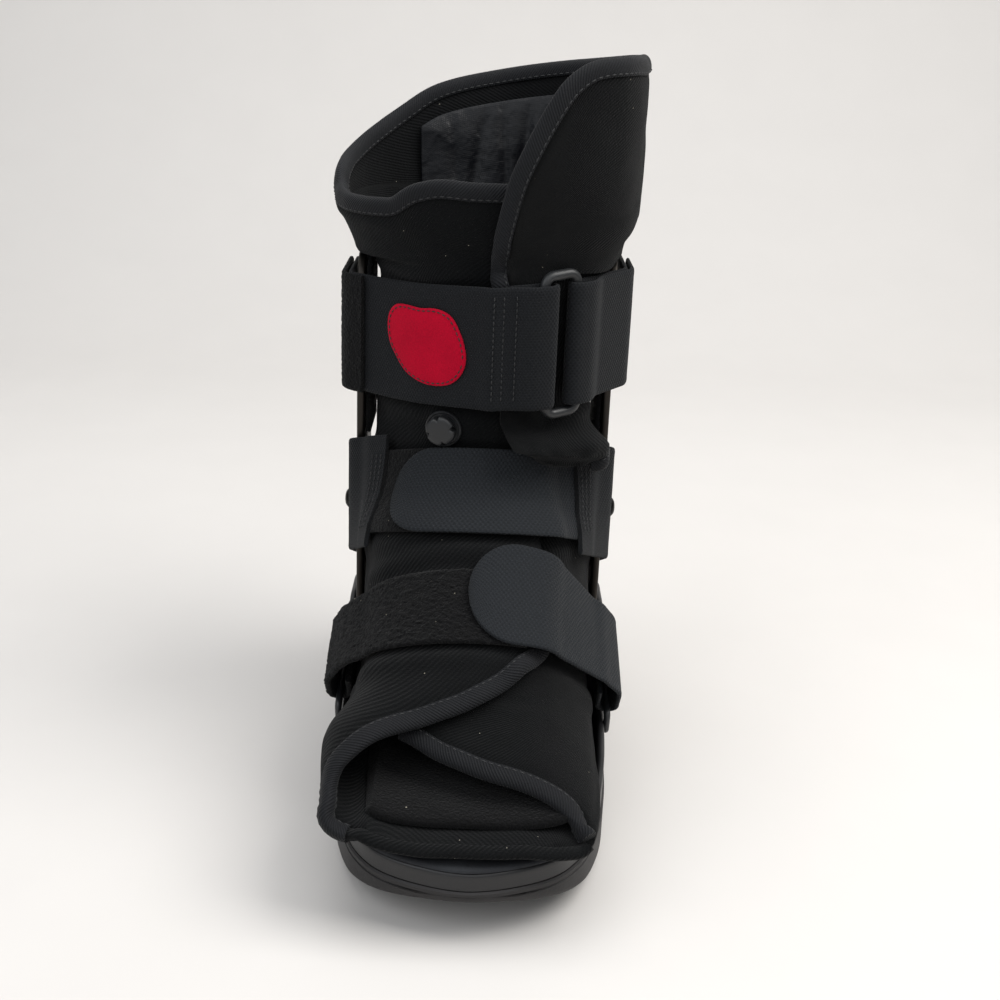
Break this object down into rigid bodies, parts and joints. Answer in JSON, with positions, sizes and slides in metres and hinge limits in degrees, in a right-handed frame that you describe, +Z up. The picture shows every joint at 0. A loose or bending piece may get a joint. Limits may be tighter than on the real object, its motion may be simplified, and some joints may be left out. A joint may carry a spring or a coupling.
{
  "type": "walking boot",
  "caption": "Short medical walking boot with a rocker sole, two side struts, a padded wrap liner, hook-and-loop straps and a turning air valve.",
  "frame": {"origin": "bottom centre of the bounding box, on the floor", "axes": "+Z up the leg, -Y towards the toe, +X to the wearer's left side of a boot seen from the front, which is the right of the picture"},
  "size_m": [0.1312, 0.27, 0.3041],
  "materials": {
    "rubber": "matte moulded",
    "shell_plastic": "fine moulded texture",
    "foam": "closed-cell foam",
    "aluminium": "dark anodised",
    "loop_fabric": "brushed loop pile",
    "liner_fabric": "knitted face on foam",
    "tape": "ribbed binding tape",
    "nylon": "satin",
    "webbing": "woven webbing",
    "hook_webbing": "ribbed woven tab",
    "felt": "felt",
    "ring_plastic": "moulded",
    "valve_plastic": "moulded",
    "steel": "dark plated"
  },
  "bodies": {
    "boot": {"outsole": "rubber", "footplate": "shell_plastic", "sole_pad": "foam", "strut_right": "aluminium", "strut_left": "aluminium", "strut_pad_right": "loop_fabric", "strut_pad_left": "loop_fabric", "calf_wrap": "liner_fabric", "foot_wrap": "liner_fabric", "calf_binding": "tape", "foot_binding": "tape", "air_cell": "nylon", "insole": "loop_fabric", "calf_strap_left": "webbing", "calf_strap_right": "webbing", "calf_ring": "ring_plastic", "patch": "felt", "ankle_base_left": "webbing", "ankle_base_right": "webbing", "ankle_loop_strap": "loop_fabric", "ankle_tab": "hook_webbing", "ankle_rivet_left": "steel", "ankle_rivet_right": "steel", "strut_rivet_left": "steel", "strut_rivet_right": "steel", "foot_loop_strap": "loop_fabric", "foot_tab": "hook_webbing", "foot_slot_left": "ring_plastic", "foot_slot_right": "ring_plastic", "valve_collar": "valve_plastic"},
    "knob": {"valve_knob": "valve_plastic"}
  },
  "joints": [
    {"name": "valve_turn", "type": "hinge", "parent": "boot", "child": "knob", "pos_m": [-0.01555, 0.00116, 0.1536], "axis": [-0.2875, -0.9577, -0.0098], "range_deg": [0, 180]}
  ]
}
